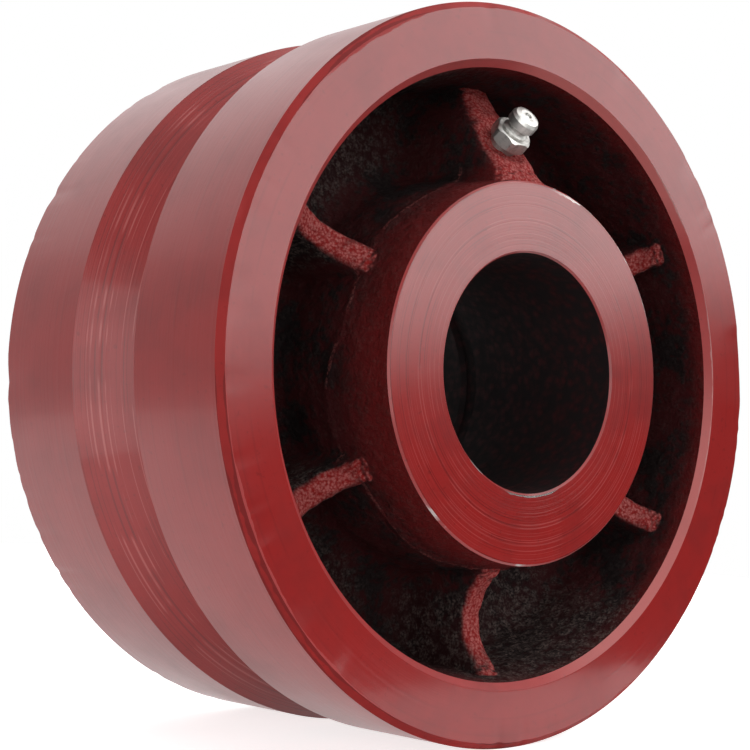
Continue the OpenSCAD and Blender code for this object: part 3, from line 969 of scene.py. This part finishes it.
class WHEEL_OT_stage(Operator):
    """Set the floor, the lamps, the sky and the camera"""

    bl_idname = "track_wheel.stage"
    bl_label = "Stage"

    def execute(self, context):
        setup = context.scene.wheel_stage
        self.floor(CAD_BOX[0][2])
        self.surround()
        self.lamp("soft_box_front", (0.75, -0.72, 0.62), (1.5, 0.95), setup.front_power, mirrored=False)
        self.lamp("soft_box_back", (-0.15, 1.1, 0.95), (1.6, 0.9), setup.back_power)
        self.lamp("soft_box_near", (-0.74, -0.60, 0.02), (0.95, 0.75), setup.near_power)
        self.lamp("soft_box_top", (-0.1, -0.1, 1.3), (1.2, 1.2), setup.top_power, mirrored=False)
        self.sky(context.scene, setup.sky)
        self.camera(context.scene, setup.focal_length)
        context.scene.view_settings.view_transform = "Standard"
        return {"FINISHED"}

    @staticmethod
    def seen_rays(tree):
        """1 for the rays of the camera and of mirrors and glass."""
        path = node(tree, "ShaderNodeLightPath").outputs
        seen = larger(tree, path["Is Glossy Ray"], path["Is Transmission Ray"])
        return larger(tree, path["Is Camera Ray"], seen)

    def floor(self, height):
        """A pale round floor that keeps the wheel's shadow, and is white where it is lit."""
        turns = [2 * math.pi * i / FLOOR_SIDES for i in range(FLOOR_SIDES)]
        radius = FLOOR_RADIUS
        edge = [(FLOOR_X + radius * math.cos(a), FLOOR_Y + radius * math.sin(a), height) for a in turns]
        material = bpy.data.materials.new("floor_pale")
        material.use_nodes = True
        tree = material.node_tree
        shader = tree.nodes["Principled BSDF"]
        shader.inputs["Base Color"].default_value = (0.86, 0.86, 0.86, 1)
        shader.inputs["Roughness"].default_value = 0.8
        shader.inputs["Emission Color"].default_value = (1, 1, 1, 1)
        lift = times(tree, self.seen_rays(tree), 0.75)
        tree.links.new(lift, shader.inputs["Emission Strength"])
        object_from("floor", edge, [tuple(range(len(edge)))], [material])

    @staticmethod
    def surround():
        """A far wall and ceiling for reflections: dark with a soft box at the front right, dim at left."""
        radius, ends = WALL_RADIUS, 2 * WALL_SIDES
        turns = [2 * math.pi * i / WALL_SIDES for i in range(WALL_SIDES)]
        round_wall = [(radius * math.cos(a), radius * math.sin(a)) for a in turns]
        points = [(x, y, z) for x, y in round_wall for z in (WALL_FOOT, WALL_TOP)]
        faces = [(i, i + 1, (i + 3) % ends, (i + 2) % ends) for i in range(0, ends, 2)]
        faces.append(tuple(range(1, ends, 2)))
        material = bpy.data.materials.new("surround")
        material.use_nodes = True
        tree = material.node_tree
        shader = tree.nodes["Principled BSDF"]
        shader.inputs["Base Color"].default_value = (0, 0, 0, 1)
        shader.inputs["Emission Strength"].default_value = 1.0
        point = node(tree, "ShaderNodeTexCoord").outputs["Object"]
        place = node(tree, "ShaderNodeSeparateXYZ", {0: point}).outputs

        def towards(x, y, z=0.0):
            """How far a point of the wall lies in a direction, as a share of the radius."""
            part = math_node(tree, "MULTIPLY_ADD", place[1], y / radius, times(tree, place[2], z / radius))
            return math_node(tree, "MULTIPLY_ADD", place[0], x / radius, part)

        box = ramp(tree, towards(-0.15, -0.13, 1.0), 0.03, 0.12, 0.01, 3.0)
        dim = ramp(tree, towards(0.66, 0.75), 0.0, 0.8, 0.45, 1.0)
        front = ramp(tree, towards(0.66, -0.75), 0.1, 0.6)
        level = math_node(tree, "MULTIPLY_ADD", minus(tree, box, dim), front, dim)
        tree.links.new(level, shader.inputs["Emission Color"])
        wall = object_from("surround", points, faces, [material])
        wall.visible_camera = wall.visible_diffuse = wall.visible_shadow = False

    @staticmethod
    def lamp(name, place, size, power, mirrored=True):
        """A soft box that faces the wheel; gloss shows it only if it is mirrored."""
        data = bpy.data.lights.new(name, "AREA")
        data.shape = "RECTANGLE"
        data.size, data.size_y = size
        data.energy = power
        lamp = bpy.data.objects.new(name, data)
        bpy.context.scene.collection.objects.link(lamp)
        lamp.location = place
        lamp.visible_glossy = mirrored
        lamp.rotation_euler = (-Vector(place)).to_track_quat("-Z", "Y").to_euler()

    def sky(self, scene, strength):
        """Even light, with a white backdrop."""
        world = bpy.data.worlds.new("studio_sky")
        scene.world = world
        world.use_nodes = True
        tree = world.node_tree
        light = tree.nodes["Background"]
        light.inputs["Color"].default_value = (1, 1, 1, 1)
        light.inputs["Strength"].default_value = strength
        white = node(tree, "ShaderNodeBackground", {0: (1, 1, 1, 1), 1: 1.0})
        inputs = {0: self.seen_rays(tree), 1: light.outputs[0], 2: white.outputs[0]}
        both = node(tree, "ShaderNodeMixShader", inputs)
        tree.links.new(both.outputs[0], tree.nodes["World Output"].inputs["Surface"])

    @staticmethod
    def camera(scene, focal_length):
        """The camera, where the photograph was taken from."""
        data = bpy.data.cameras.new("camera")
        data.lens = focal_length
        data.sensor_width = 36.0
        data.clip_start = 0.01
        eye = bpy.data.objects.new("camera", data)
        scene.collection.objects.link(eye)
        azimuth, elevation, roll = (math.radians(value) for value in (EYE_AZIMUTH, EYE_ELEVATION, EYE_ROLL))
        flat = math.cos(elevation)
        back = Vector((math.sin(azimuth) * flat, -math.cos(azimuth) * flat, math.sin(elevation)))
        level = Vector((math.cos(azimuth), math.sin(azimuth), 0))
        upright = back.cross(level)
        right = level * math.cos(roll) + upright * math.sin(roll)
        up = upright * math.cos(roll) - level * math.sin(roll)
        place = back * EYE_AWAY + right * EYE_RIGHT + up * EYE_UP
        turn = Matrix((right, up, back)).transposed().to_4x4()
        eye.matrix_world = Matrix.Translation(place) @ turn
        scene.camera = eye


class WHEEL_PT_panel(Panel):
    """Lists the steps of the wheel and its main sizes"""

    bl_idname = "WHEEL_PT_panel"
    bl_label = "Track Wheel"
    bl_space_type = "VIEW_3D"
    bl_region_type = "UI"
    bl_category = "Track Wheel"

    def draw(self, context):
        for step in STEPS:
            self.layout.operator(step.bl_idname)
        for group in (context.scene.wheel_sizes, context.scene.wheel_finish, context.scene.wheel_stage):
            box = self.layout.box()
            for name in group.__annotations__:
                box.prop(group, name)


STEPS = (WHEEL_OT_casting, WHEEL_OT_fitting, WHEEL_OT_stage)
GROUPS = (WheelSizes, WheelFinish, StageSetup)


def register():
    for made in (*GROUPS, *STEPS, WHEEL_PT_panel):
        bpy.utils.register_class(made)
    bpy.types.Scene.wheel_sizes = PointerProperty(type=WheelSizes)
    bpy.types.Scene.wheel_finish = PointerProperty(type=WheelFinish)
    bpy.types.Scene.wheel_stage = PointerProperty(type=StageSetup)


def unregister():
    del bpy.types.Scene.wheel_stage, bpy.types.Scene.wheel_finish, bpy.types.Scene.wheel_sizes
    for made in reversed((*GROUPS, *STEPS, WHEEL_PT_panel)):
        bpy.utils.unregister_class(made)


def main():
    register()
    bpy.ops.track_wheel.casting()
    bpy.ops.track_wheel.fitting()
    bpy.ops.track_wheel.stage()
    bpy.context.view_layer.update()


if __name__ == "__main__":
    main()
